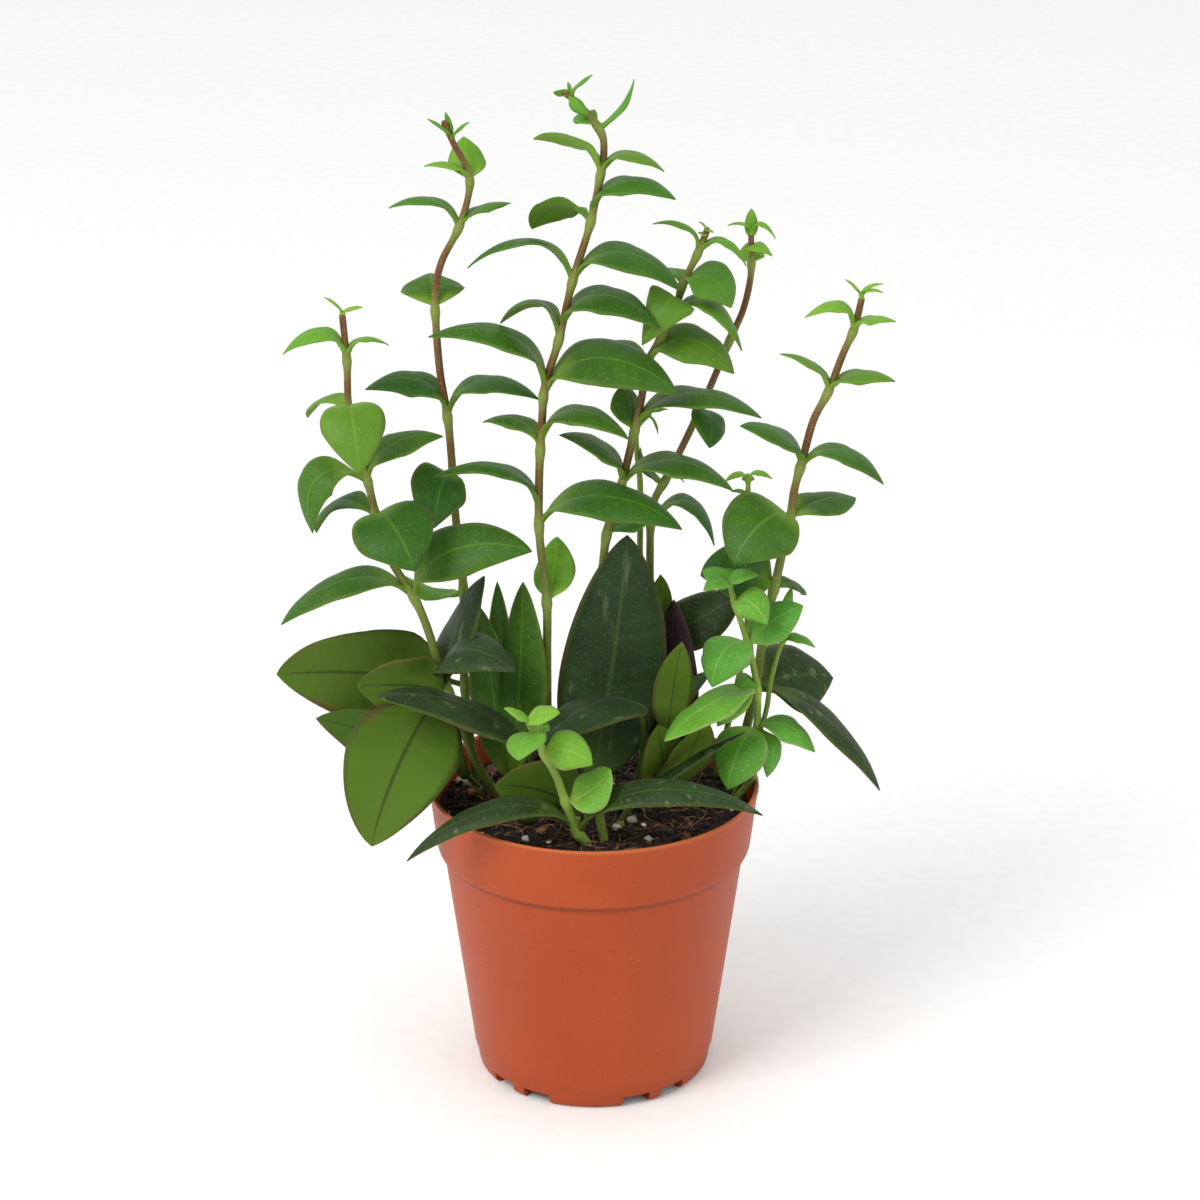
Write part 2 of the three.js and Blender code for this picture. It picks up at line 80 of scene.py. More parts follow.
# ---- The plant's tables, in millimetres ----
# A leaf is (x, y, z, width, rise, roll): its tip from its foot, the blade's width, the height of
# the arch and the turn about its own length in degrees, then the stalk's share of the length.
# A stem has its route, its two diameters, its leaf pairs as (height, leaf, leaf) and the small
# leaves that are one piece with it.
STEMS = {
    "stem_1": (
        [(-30, 5, 86), (-35, 4, 96), (-39, 4, 107), (-45, 2, 126), (-50, 1, 144), (-54, 0, 154),
         (-60, 0, 165), (-64, -1, 180), (-66, -2, 190), (-70, -3, 206), (-71, -4, 216),
         (-71, -5, 228), (-72, -6, 243)],
        (2.9, 2),
        [(121, (-27, -5, 4, 24, 2, 75), (-22, -34, -35, 34, 5, 148), (11, 6, 35, 20, 4, 0),
          (21, -20, 15, 18, 12, 10)),
         (152, (-39, -8, -5, 15, 10, -10), (35, -5, 17, 18, 10, 38)),
         (178, (12, -20, -9, 25, 7, 0), (-19, 14, -10, 14, 8, 0)),
         (190, (-16, -6, -14, 14, 12, -28), (22, 5, 12, 13, 6, 12)),
         (212, (4, -20, -12, 19, 9, 0), (-13, 12, -6, 10, 5, 0))],
        [(228, (-18, -3, 3, 9, 8, -8), (12, 2, 4, 8, 5, -15)),
         (242, (-5, -2, 6, 4, 1, 0), (6, -2, 3, 4, 1, 0))],
    ),
    "stem_2": (
        [(-36, 15, 86), (-39, 14, 117), (-39, 14, 149), (-41, 14, 172), (-42, 14, 191),
         (-43, 14, 204), (-45, 14, 218), (-46, 14, 233), (-46, 14, 243), (-44, 14, 252),
         (-39, 14, 262), (-36, 14, 272), (-36, 14, 279), (-40, 14, 287), (-43, 14, 294)],
        (2.7, 1.8),
        [(118, (-57, 2, 3, 34, 3, 80)),
         (185, (-5, -18, -9, 18, 6, -40)),
         (204, (-24, -1, 9, 14, 8, -15), (27, -4, 7, 14, 9, 5)),
         (237, (-2, 14, 7, 19, 3, 0)),
         (262, (-20, 0, 6, 9, 6, 0), (15, 5, 6, 10, 3, -15))],
        [(149, (-18, 5, 3, 10, -3, 0)),
         (276, (-13, -2, 5, 7, 3, 0), (-2, 12, 10, 11, 0, 0)),
         (288, (-7, -2, 7, 4, 1, 0), (5, -2, 6, 5, 1, 0), (-2, 2, 8, 3, 0, 0))],
    ),
    "stem_3": (
        [(-14, 10, 86), (-14, 9, 116), (-14, 8, 130), (-14, 7, 149), (-16, 6, 170),
         (-16, 5, 188), (-15, 4, 207), (-14, 3, 218), (-10, 2, 232), (-6, 1, 250), (-1, 0, 267),
         (2, -1, 282), (3, -1, 289), (2, -1, 295), (-4, -2, 303), (-9, -2, 307)],
        (2.8, 1.9),
        [(173, (-31, -5, 17, 12, 12, 0), (42, -11, 3, 18, 10, 15)),
         (197, (-17, 8, 6, 11, 6, 0), (26, -10, 7, 14, 11, 5)),
         (214, (-33, -5, 20, 15, 12, -5), (39, -10, 4, 20, 12, 22)),
         (232, (-17, 6, 3, 16, 10, 15), (29, -8, 6, 17, 12, 12)),
         (250, (-30, 0, 4, 15, 11, 15), (31, -6, -1, 16, 10, 12)),
         (268, (24, -8, 9, 14, 9, 10), (-17, 10, -5, 15, 6, 30)),
         (282, (-19, 6, 9, 16, 6, 30), (18, -3, 2, 10, 6, 0))],
        [(148, (3, 8, 18, 13, -2, 0)),
         (296, (10, 0, 14, 6, -2, 0), (-7, 6, 1, 7, 3, 0)),
         (305, (-5, -2, 2, 4, 1, 0), (-1, 2, 4, 3, 0, 0), (6, 2, 6, 6, 1, 0),
          (5, -4, -4, 4, 2, 0))],
    ),
    "stem_4": (
        [(0, 14, 86), (1, 13, 114), (2, 12, 147), (4, 11, 169), (8, 11, 183), (12, 10, 201),
         (14, 10, 211), (16, 9, 223), (20, 9, 231), (24, 9, 240), (26, 9, 247), (30, 8, 256),
         (33, 8, 264)],
        (2.8, 1.9),
        [(183, (-18, -4, 18, 15, 6, -5), (33, -8, 2, 15, 9, 8)),
         (201, (37, -5, 6, 16, 10, 5), (-3, 6, 13, 13, 0, 0)),
         (222, (-18, -2, 4, 11, 5, 0), (25, -8, 0, 17, 9, 22)),
         (231, (23, -5, -3, 13, 13, 5), (-6, -12, 1, 15, 15, 0)),
         (246, (14, -8, -4, 17, 6, 25), (-9, 12, -1, 14, 4, 0))],
        [(168, (12, 5, 2, 10, 2, 0)),
         (256, (-13, 0, 9, 5, 5, 0), (14, -2, -3, 7, 6, 0)),
         (262, (-2, -1, 4, 3, 1, 0), (2, -2, 1, 3, 1, 0), (-2, -2, 1, 3, 0, 0))],
    ),
    "stem_5": (
        [(17, 20, 86), (17, 20, 111), (17, 21, 143), (17, 21, 166), (18, 21, 175), (22, 21, 183),
         (28, 21, 196), (34, 21, 210), (40, 22, 225), (44, 22, 235), (46, 22, 245),
         (46, 22, 253), (46, 22, 258)],
        (2.6, 1.8),
        [(130, (27, -4, 17, 17, -1, 60), (3, -6, 24, 10, -1, 0)),
         (168, (19, -3, -6, 13, 11, 0)),
         (181, (-7, 3, 10, 8, -2, 0), (6, 0, 0, 3, 3, 0)),
         (203, (3, -14, -6, 12, 4, 0)),
         (225, (-10, 0, 11, 8, 4, 0))],
        [(249, (6, -3, 3, 9, 5, 0), (0, 6, 5, 8, -1, 0)),
         (256, (0, 2, 9, 4, 0, 0), (-7, -2, 5, 3, 3, 0), (7, -2, 1, 4, 5, 0))],
    ),
    "stem_6": (
        [(42, 12, 86), (48, 9, 115), (51, 7, 139), (54, 5, 155), (56, 4, 166), (58, 3, 177),
         (59, 2, 186), (61, 1, 195), (64, 0, 208), (68, -1, 217), (72, -2, 229), (75, -3, 237),
         (77, -4, 247)],
        (3, 2),
        [(119, (24, 9, 0, 25, 3, 30), (37, -18, -25, 12, 8, 0)),
         (153, (-22, -4, 6, 18, 4, -55), (10, 6, -4, 10, 3, 0)),
         (176, (20, 10, 3, 16, 3, 0), (-17, -16, -8, 25, 7, -15)),
         (193, (-18, -6, 15, 16, 5, 0), (24, -6, -3, 13, 8, 0)),
         (217, (-14, 2, 11, 10, 4, 10), (19, -5, 5, 11, 4, 5))],
        [(236, (-14, -2, 5, 8, 7, 0), (12, -3, 4, 12, 3, -10)),
         (246, (-5, -3, 7, 5, 1, 0), (6, -1, 5, 3, 2, 0), (6, -3, 3, 3, 2, 0))],
    ),
    "shoot_7": (
        [(15, 27, 86), (14, 27, 141), (14, 27, 176), (13, 27, 188), (13, 27, 196),
         (17, 27, 201)],
        (2.2, 1.5),
        [],
        [(200, (3, -2, -5, 2, 1, 0), (6, 0, 2, 3, 1, 0), (-2, -2, 1, 3, 0, 0))],
    ),
    "shoot_8": (
        [(38, 22, 86), (46, 20, 131), (46, 19, 164), (46, 18, 176), (46, 18, 184)],
        (2, 1.5),
        [],
        [(176, (-5, -2, 4, 5, 2, 0), (5, -3, 0, 5, 2, 0)),
         (182, (-7, -2, 1, 5, 3, 0), (7, -2, 2, 5, 3, 0), (0, 3, 2, 4, 0, 0))],
    ),
    "shoot_9": (
        [(-2, -30, 86), (-5, -32, 91), (-7, -34, 98), (-9, -36, 105), (-11, -38, 112),
         (-14, -40, 119), (-16, -42, 125), (-19, -44, 132)],
        (2.9, 2),
        [(90, (-50, -12, -3, 11, 15, 0), (54, -4, 8, 11, 16, 0))],
        [(102, (13, -3, 12, 14, -2, 25)),
         (120, (14, -4, -2, 12, 4, 30)),
         (126, (-5, -12, -2, 13, 3, 0), (1, 5, 2, 7, 0, 0)),
         (131, (-7, -3, 6, 7, 1, 0), (9, -4, 5, 9, 2, 0), (6, -5, 1, 4, 2, 0))],
    ),
    "shoot_10": ([(3, -26, 86), (2, -26, 92), (1, -26, 106)], (2.8, 2.6), [], []),
    "shoot_11": (
        [(43, 1, 86), (48, 1, 94), (49, 0, 108), (49, -1, 121), (48, -2, 129), (46, -3, 138),
         (44, -4, 145), (41, -5, 155), (40, -6, 159)],
        (2.5, 1.6),
        [],
        [(110, (17, -8, -4, 13, 5, 0), (-9, -13, -14, 18, 5, 0), (3, -4, -14, 8, 6, 0)),
         (123, (-28, -26, -5, 18, 4, 10), (-12, -6, -9, 8, 2, -20), (-6, -5, 0, 9, 4, -20)),
         (138, (16, 0, 13, 14, 2, 30), (-11, -12, -8, 20, 6, 0)),
         (152, (9, -8, -3, 11, 5, 20)),
         (158, (-8, 4, 4, 8, 2, 0), (-8, -5, 1, 8, 3, 0), (-1, 8, 3, 6, 1, 0),
          (8, -3, 5, 7, 3, 0))],
    ),
    "shoot_12": (
        [(43, 7, 86), (50, 5, 107), (52, 4, 115), (53, 3, 124), (55, 3, 133), (57, 3, 139)],
        (1.8, 1.4),
        [],
        [(136, (10, -2, 0, 6, 3, 10), (3, 4, 17, 6, 0, 0))],
    ),
}
# Leaves that grow from the soil: the place of their foot, then the leaves.
BASAL = {
    "basal_left": ((-35, 6), (-49, 4, 21, 23, 4, 80, 0.1)),
    "basal_tuft": ((-25, 4), (4, 2, 67, 18, -1, 30, 0.1), (-9, 9, 56, 14, -1, -30, 0.1),
                   (-4, 15, 62, 10, -1, 0, 0.1)),
    "basal_long": ((-17, -5), (-47, -15, 41, 26, 14, -6, 0.2)),
    "basal_low": ((-5, -15), (-24, -13, 16, 24, 4, 80, 0.15)),
    "basal_upright": ((-2, -2), (12, 8, 82, 32, -2, 45, 0.1)),
    "basal_front": ((10, -9), (-28, -23, 29, 30, 28, 10, 0.42)),
    "basal_dark": ((22, 8), (2, 4, 59, 17, -1, 0, 0.1), (13, -8, 40, 18, 8, 30, 0.25)),
    "basal_olive": ((22, -3), (4, -11, 56, 12, 4, -20, 0.4), (-3, -10, 29, 17, 0, 40, 0.1),
                    (11, -10, 31, 17, 0, -20, 0.1)),
    "basal_cross": ((8, -18), (37, 4, 27, 7, 3, 0, 0.1)),
}


# ---- Node materials ----
def srgb(code):
    """A linear colour from six hexadecimal digits."""
    channels = [int(code[i : i + 2], 16) / 255 for i in (0, 2, 4)]
    return (*[c / 12.92 if c < 0.04045 else ((c + 0.055) / 1.055) ** 2.4 for c in channels], 1)


class Look:
    """A material whose nodes are made and joined by short calls."""

    def __init__(self, name):
        self.material = bpy.data.materials.new(name)
        self.material.use_nodes = True
        self.tree = self.material.node_tree
        self.shader = self.tree.nodes["Principled BSDF"]
        self.place = self.node("ShaderNodeTexCoord").outputs["Object"]

    def node(self, kind, **settings):
        made = self.tree.nodes.new(kind)
        for key, value in settings.items():
            setattr(made, key, value)
        return made

    def feed(self, socket, value):
        if isinstance(value, bpy.types.NodeSocket):
            self.tree.links.new(value, socket)
        else:
            socket.default_value = value

    def calc(self, operation, a, b=0.0, c=0.0):
        made = self.node("ShaderNodeMath", operation=operation)
        for socket, value in zip(made.inputs, (a, b, c)):
            self.feed(socket, value)
        return made.outputs[0]

    def step(self, value, low, high, first=0.0, last=1.0):
        made = self.node("ShaderNodeMapRange", interpolation_type="SMOOTHSTEP")
        for socket, given in zip(made.inputs, (value, low, high, first, last)):
            self.feed(socket, given)
        return made.outputs[0]

    def mix(self, share, a, b):
        made = self.node("ShaderNodeMix", data_type="RGBA")
        self.feed(made.inputs[0], share)
        self.feed(made.inputs[6], a)
        self.feed(made.inputs[7], b)
        return made.outputs[2]

    def noise(self, scale, detail=3.0, stretch=(1, 1, 1)):
        mapping = self.node("ShaderNodeMapping")
        self.feed(mapping.inputs[0], self.place)
        mapping.inputs["Scale"].default_value = stretch
        made = self.node("ShaderNodeTexNoise")
        self.feed(made.inputs["Vector"], mapping.outputs[0])
        made.inputs["Scale"].default_value = scale
        made.inputs["Detail"].default_value = detail
        return made.outputs[0]

    def spots(self, scale, size):
        made = self.node("ShaderNodeTexVoronoi")
        self.feed(made.inputs["Vector"], self.place)
        made.inputs["Scale"].default_value = scale
        return self.step(made.outputs["Distance"], size, size * 0.5)

    def attribute(self, name):
        made = self.node("ShaderNodeAttribute", attribute_name=name)
        parts = self.node("ShaderNodeSeparateXYZ")
        self.feed(parts.inputs[0], made.outputs["Vector"])
        return parts.outputs[0], parts.outputs[1], parts.outputs[2]

    def finish(self, color, roughness, height, depth, **inputs):
        """height is a field from 0 to 1 whose relief is depth metres high."""
        bump = self.node("ShaderNodeBump")
        bump.inputs["Distance"].default_value = depth
        self.feed(bump.inputs["Height"], height)
        self.feed(self.shader.inputs["Normal"], bump.outputs[0])
        self.feed(self.shader.inputs["Base Color"], color)
        self.feed(self.shader.inputs["Roughness"], roughness)
        for key, value in inputs.items():
            self.shader.inputs[key.replace("_", " ")].default_value = value
        return self.material


LEAF_LOOKS = {
    # upper, upper between the veins, by the stalk, midrib, margin, speck, under, under's rib
    "leaf": ("2b5410", "356214", "6a8f28", "5c8a2c", "6f9440", "7f9c50", "5a7a1c", "48581c"),
    "young_leaf": ("4a8218", "569020", "80a838", "7cae40", "98b868", "9cb868", "6c9230", "5f7c28"),
    "mint_leaf": ("4f8c28", "5c9a34", "84a844", "8cb85c", "bcd29c", "b8cc94", "789c40", "648038"),
    "old_leaf": ("1d3010", "26401a", "4e6420", "4a5e2c", "566a38", "6c7a50", "486713", "303c10"),
    "purple_leaf": ("231418", "2f1d20", "3d3020", "4c3a30", "5b4840", "6e5e50", "3c2428", "2a1719"),
}


def leaf_material(name):
    look = Look(name)
    upper, between, stalk, rib, margin, speck, under, under_rib = map(srgb, LEAF_LOOKS[name])
    along, across, is_upper = look.attribute("leaf_place")
    seed, length, youth = look.attribute("leaf_kind")
    off = look.calc("ABSOLUTE", across)
    # Side veins run forward from the midrib, about one for each 5 mm of the blade.
    forward = look.calc("MULTIPLY", off, VEIN_RUN)
    ahead = look.calc("SUBTRACT", look.calc("MULTIPLY", along, length), forward)
    veins = look.calc("SINE", look.calc("MULTIPLY", ahead, 1.25))
    quilt = look.step(veins, -1.0, 0.6, 0.7, 1.0)
    patches = look.noise(90, 4)
    color = look.mix(look.calc("MULTIPLY", quilt, look.step(patches, 0.3, 0.7)), upper, between)
    color = look.mix(look.calc("MULTIPLY", look.step(along, 0.3, 0.04), 0.8), color, stalk)
    color = look.mix(look.calc("MULTIPLY", look.step(off, 0.88, 1.0), 0.5), color, margin)
    color = look.mix(look.calc("MULTIPLY", look.step(off, 0.06, 0.02), 0.4), color, rib)
    color = look.mix(look.calc("MULTIPLY", look.spots(900, 0.26), 0.3), color, speck)
    below = look.mix(look.step(patches, 0.4, 0.66), under, look.mix(0.4, under, stalk))
    below = look.mix(look.calc("MULTIPLY", look.step(off, 0.05, 0.02), 0.8), below, under_rib)
    if name == "old_leaf":
        red_edge = look.calc("MULTIPLY", look.step(off, 0.72, 1.0), look.step(patches, 0.42, 0.6))
        below = look.mix(look.calc("MULTIPLY", red_edge, 0.6), below, srgb("6b3a26"))
        scars = look.calc("MULTIPLY", look.step(look.noise(260, 2, (1, 1, 0.2)), 0.62, 0.7), 0.4)
        color = look.mix(scars, color, speck)
    color = look.mix(is_upper, below, color)
    fresh = srgb("6ea22a")
    color = look.mix(look.calc("MULTIPLY", youth, 0.5), color, fresh)
    bright = look.node("ShaderNodeHueSaturation")
    look.feed(bright.inputs["Color"], color)
    look.feed(bright.inputs["Value"], look.step(seed, 0.0, 1.0, 0.82, 1.15))
    look.feed(bright.inputs["Hue"], look.step(seed, 0.0, 1.0, 0.512, 0.488))
    rough = look.step(is_upper, 0.0, 1.0, 0.72, 0.42)
    rough = look.calc("ADD", rough, look.calc("MULTIPLY", patches, 0.12))
    grain = look.calc("MULTIPLY", look.noise(900), 0.5)
    relief = look.calc("ADD", look.calc("MULTIPLY", quilt, 0.5), grain)
    return look.finish(
        bright.outputs[0], rough, relief, 0.25 * MM, Subsurface_Weight=0.1,
        Subsurface_Scale=1.5 * MM, Sheen_Weight=0.03, Sheen_Roughness=0.4, Specular_IOR_Level=0.22,
    )


def stem_material(name, internode, node_color, low_color):
    look = Look(name)
    node_near, height, _ = look.attribute("stem_place")
    streaks = look.noise(500, 3, (1, 1, 0.15))
    pale = look.mix(0.25, srgb(internode), srgb(low_color))
    base = look.mix(look.step(streaks, 0.35, 0.65), srgb(internode), pale)
    color = look.mix(look.step(height, 0.55, 0.25), base, srgb(low_color))
    color = look.mix(look.calc("MULTIPLY", node_near, 0.75), color, srgb(node_color))
    color = look.mix(look.calc("MULTIPLY", look.spots(1400, 0.3), 0.3), color, srgb("c5c79c"))
    grain = look.calc("MULTIPLY", look.noise(1800), 0.4)
    relief = look.calc("ADD", look.calc("MULTIPLY", streaks, 0.6), grain)
    return look.finish(
        color, look.step(streaks, 0.2, 0.8, 0.45, 0.65), relief, 0.3 * MM,
        Specular_IOR_Level=0.25, Sheen_Weight=0.06, Sheen_Roughness=0.5,
    )


def pot_material():
    look = Look("pot_plastic")
    height = look.node("ShaderNodeSeparateXYZ")
    look.feed(height.inputs[0], look.place)
    z = height.outputs[2]
    cloud = look.noise(22, 4)
    grain = look.noise(1500, 2)
    color = look.mix(look.step(cloud, 0.3, 0.7), srgb("9f3f17"), srgb("a8461b"))
    color = look.mix(look.calc("MULTIPLY", look.step(grain, 0.55, 0.7), 0.25), color, srgb("873410"))
    color = look.mix(look.calc("MULTIPLY", look.spots(260, 0.1), 0.4), color, srgb("b8673a"))
    # Painted highlight: the top 1.6 mm of the rim is mixed towards a lighter orange, standing in for
    # light caught by the thin lip.
    lip_highlight = look.step(z, POT_HEIGHT - 1.6 * MM, POT_HEIGHT - 0.4 * MM)
    color = look.mix(look.calc("MULTIPLY", lip_highlight, 0.4), color, srgb("c07040"))
    # Darker in patches towards the bottom of the pot, over its lowest 10 mm.
    dark_foot_patches = look.calc("MULTIPLY", look.step(z, 10 * MM, 0.0), look.step(cloud, 0.4, 0.65))
    color = look.mix(look.calc("MULTIPLY", dark_foot_patches, 0.35), color, srgb("6d3219"))
    # Painted shadow: a dark brown line on the wall just under the band's overhang, where the band's
    # shade falls.
    band_shadow = look.calc("MULTIPLY", look.step(z, BAND_Z - 2.6 * MM, BAND_Z - 0.5 * MM),
                           look.step(z, BAND_Z + 0.8 * MM, BAND_Z))
    color = look.mix(look.calc("MULTIPLY", band_shadow, 0.5), color, srgb("5a240e"))
    rough = look.step(cloud, 0.25, 0.75, 0.4, 0.52)
    rings = look.noise(600, 2, (0.05, 0.05, 1))
    relief = look.calc("ADD", look.calc("MULTIPLY", grain, 0.5), look.calc("MULTIPLY", rings, 0.5))
    return look.finish(color, rough, relief, 0.12 * MM, Specular_IOR_Level=0.25)


def grain_material(name, dark, light, roughness, depth):
    """Loose stuff in the soil: each grain's tone comes from its own random number."""
    look = Look(name)
    seed, _, _ = look.attribute("grain")
    cloud = look.noise(420, 5)
    color = look.mix(look.step(cloud, 0.3, 0.72), srgb(dark), srgb(light))
    tone = look.node("ShaderNodeHueSaturation")
    look.feed(tone.inputs["Color"], color)
    look.feed(tone.inputs["Value"], look.step(seed, 0.0, 1.0, 0.6, 1.45))
    return look.finish(tone.outputs[0], roughness, look.noise(1300, 5), depth)


# ---- Meshes ----
class Shape:
    """Vertices, faces and what the materials read at each vertex, for one piece."""

    def __init__(self):
        self.points = []
        self.faces = []
        self.slots = []
        self.fields = {}

    def add(self, points, faces, slot=0, **fields):
        first = len(self.points)
        self.points += points
        self.faces += [tuple(first + i for i in face) for face in faces]
        self.slots += [slot] * len(faces)
        for name, values in fields.items():
            known = self.fields.setdefault(name, [])
            known += [(0.0, 0.0, 0.0)] * (first - len(known))
            known += values

    def piece(self, name, looks, slot, *nodes):
        mesh = bpy.data.meshes.new(name)
        mesh.from_pydata(self.points, [], self.faces)
        for field, values in self.fields.items():
            values += [(0.0, 0.0, 0.0)] * (len(self.points) - len(values))
            layer = mesh.attributes.new(field, "FLOAT_VECTOR", "POINT")
            layer.data.foreach_set("vector", [c for value in values for c in value])
        for look in looks:
            mesh.materials.append(look)
        mesh.polygons.foreach_set("material_index", self.slots)
        mesh.polygons.foreach_set("use_smooth", [True] * len(mesh.polygons))
        made = bpy.data.objects.new(name, mesh)
        bpy.context.collection.objects.link(made)
        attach(made, "root")
        if nodes:
            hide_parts(*nodes)
        return made


def ring_faces(rings, sides):
    """Faces of a closed tube of rings, each of the same number of points, with flat ends."""
    faces = []
    for row in range(rings - 1):
        for k in range(sides):
            a = row * sides + k
            b = row * sides + (k + 1) % sides
            faces.append((a, b, b + sides, a + sides))
    last = (rings - 1) * sides
    return [*faces, tuple(range(sides))[::-1], tuple(range(last, last + sides))]


def spline(route):
    """A smooth curve through a route's points: at(t) gives its place and direction."""
    points = [Vector(p) * MM for p in route]
    ends = [2 * points[0] - points[1], *points, 2 * points[-1] - points[-2]]

    def at(t):
        s = min(max(t, 0.0), 1.0) * (len(points) - 1)
        i = min(int(s), len(points) - 2)
        a, b, c, d = ends[i : i + 4]
        f = s - i
        m0, m1 = (c - a) / 2, (d - b) / 2
        place = (
            (2 * f**3 - 3 * f**2 + 1) * b + (f**3 - 2 * f**2 + f) * m0
            + (3 * f**2 - 2 * f**3) * c + (f**3 - f**2) * m1
        )
        slope = (
            (6 * f**2 - 6 * f) * b + (3 * f**2 - 4 * f + 1) * m0
            + (6 * f - 6 * f**2) * c + (3 * f**2 - 2 * f) * m1
        )
        return place, slope.normalized()

    return at


def stem_curve(route):
    x, y, _ = route[0]
    return spline([(x, y, ROOT_Z), *route])


def share_at(at, z):
    """How far along the stem it reaches the height z."""
    low, high = 0.0, 1.0
    for _ in range(30):
        middle = (low + high) / 2
        if at(middle)[0].z < z:
            low = middle
        else:
            high = middle
    return low


def smooth(value, low, high):
    x = min(max((value - low) / (high - low), 0.0), 1.0)
    return x * x * (3 - 2 * x)


def add_leaf(shape, foot, leaf, up, slot, seed, youth):
    """A fleshy leaf along an arched midrib, thick in the middle, with a waved margin.

    One rolled past a right angle grows face down.
    """
    x, y, z, width, rise, roll, *rest = leaf
    stalk_share = rest[0] if rest else STALK_SHARE
    chord = Vector((x, y, z)) * MM
    width, rise = width * MM, rise * MM
    reach = chord.length
    lead = chord.normalized()
    above = (up - lead * up.dot(lead)).normalized()
    across = lead.cross(above)
    knots = [
        foot, foot + 0.2 * chord + 1.5 * rise * above,
        foot + 0.75 * chord + 1.1 * rise * above, foot + chord,
    ]
    rows = 30 if reach > 30 * MM else 22 if reach > 12 * MM else 12
    half_sides = 12 if width > 12 * MM else 8 if width > 6 * MM else 5
    sides = 2 * half_sides
    thick = LEAF_THICK * min(1, 0.5 + reach / (50 * MM))
    start = math.copysign(180, roll) if abs(roll) > 90 else 0
    rng = random.Random(seed)
    phase, curl = rng.uniform(0, 6.28), rng.uniform(0.5, 1.3)
    points, places, kinds = [], [], []
    for row in range(rows + 1):
        t = row / rows
        s = 1 - t
        a, b, c, d = knots
        mid = s**3 * a + 3 * s * s * t * b + 3 * s * t * t * c + t**3 * d
        tangent = (s * s * (b - a) + 2 * s * t * (c - b) + t * t * (d - c)).normalized()
        eased = start + (roll - start) * smooth(t, 0, 0.35)
        turn = Matrix.Rotation(math.radians(eased), 3, tangent)
        face = turn @ across.cross(tangent).normalized()
        side = turn @ across
        blade = min(max((t - stalk_share) / (1 - stalk_share), 0.0), 1.0)
        bulge = width / 2 * max(0.0, math.sin(math.pi * blade**0.8)) ** 0.8
        stalk = min(STALK_HALF, width / 5) * (1 - 0.85 * blade)
        half = max(stalk, bulge)
        fold = math.radians(FOLD * max(-0.3, 1 - t / 0.42))
        depth = stalk + (thick / 2 - stalk) * smooth(blade, 0, 0.15)
        depth *= 1 - 0.6 * smooth(blade, 0.6, 1.0)
        for k in range(sides):
            top = k < half_sides
            u = -1 + 2 * k / half_sides if top else 1 - 2 * (k - half_sides) / half_sides
            spread = math.cos(fold) * u * half
            lift = half * math.sin(fold) * abs(u) ** 1.4
            wave = math.sin(9 * t + phase + 2 * (u > 0)) + 0.6 * math.sin(21 * t + 3 * phase)
            lift += 0.035 * half * wave * u * u * smooth(blade, 0.1, 0.5)
            lift -= 0.06 * curl * half * u**4
            bulk = depth * math.sqrt(max(0.0, 1 - u * u))
            groove = smooth(abs(u), 0.16, 0.0) * smooth(blade, 0, 0.1) * (1 - blade)
            lift += bulk - 0.32 * MM * groove if top else -bulk - 0.45 * MM * groove
            points.append(mid + side * spread + face * lift)
            margin = 0.5 if abs(u) > 0.999 else float(top)
            places.append((blade, u, margin))
            kinds.append((seed % 97 / 97, reach / MM, youth))
    shape.add(points, ring_faces(rows + 1, sides), slot, leaf_place=places, leaf_kind=kinds)


def add_stem(shape, at, diameters, nodes, seed, slot=0):
    """A tube along the stem's curve that swells and turns green at each leaf pair."""
    start, end = at(0)[0], at(1)[0]
    rings = int((end - start).length / (1.1 * MM)) + 2
    sides = 12
    points, places = [], []
    for ring in range(rings):
        t = ring / (rings - 1)
        place, tangent = at(t)
        across = tangent.cross(Vector((0, 1, 0))).normalized()
        out = across.cross(tangent)
        near = max([math.exp(-(((place.z - z) / (2.2 * MM)) ** 2)) for z in nodes], default=0)
        wide = max([math.exp(-(((place.z - z) / (4.5 * MM)) ** 2)) for z in nodes], default=0)
        radius = (diameters[0] + (diameters[1] - diameters[0]) * t) * MM / 2 + NODE_SWELL * near
        radius *= 1 + 0.05 * noise.noise(place * 300 + Vector((seed, 0, 0)))
        if ring == rings - 1:
            radius *= 0.5
        for k in range(sides):
            angle = 2 * math.pi * k / sides
            points.append(place + radius * (math.cos(angle) * across - math.sin(angle) * out))
            places.append((wide, (place.z - start.z) / STEM_SPAN, seed % 97 / 97))
    shape.add(points, ring_faces(rings, sides), slot, stem_place=places)


def lathe(profile, segments):
    """A closed body of revolution; the profile runs from the axis back to the axis."""
    rings = [p for p in profile if p[0] > 1e-9]
    points = [Vector((0, 0, profile[0][1]))]
    for radius, z in rings:
        for k in range(segments):
            angle = 2 * math.pi * k / segments
            points.append(Vector((radius * math.cos(angle), radius * math.sin(angle), z)))
    points.append(Vector((0, 0, profile[-1][1])))
    last = len(points) - 1
    faces = []
    for k in range(segments):
        n = (k + 1) % segments
        faces.append((0, 1 + n, 1 + k))
        for ring in range(len(rings) - 1):
            a, b = 1 + ring * segments, 1 + (ring + 1) * segments
            faces.append((a + k, a + n, b + n, b + k))
        top = 1 + (len(rings) - 1) * segments
        faces.append((top + k, top + n, last))
    return points, faces


def rounded(profile, radius):
    """The profile with each inner corner replaced by a small arc of four points."""
    points = [Vector(p) for p in profile]
    made = [points[0]]
    for before, corner, after in zip(points, points[1:], points[2:]):
        back, on = before - corner, after - corner
        cut = min(radius, back.length * 0.45, on.length * 0.45)
        start, end = corner + back.normalized() * cut, corner + on.normalized() * cut
        for t in (0, 1 / 3, 2 / 3, 1):
            made.append((1 - t) ** 2 * start + 2 * t * (1 - t) * corner + t * t * end)
    return [tuple(p) for p in [*made, points[-1]]]


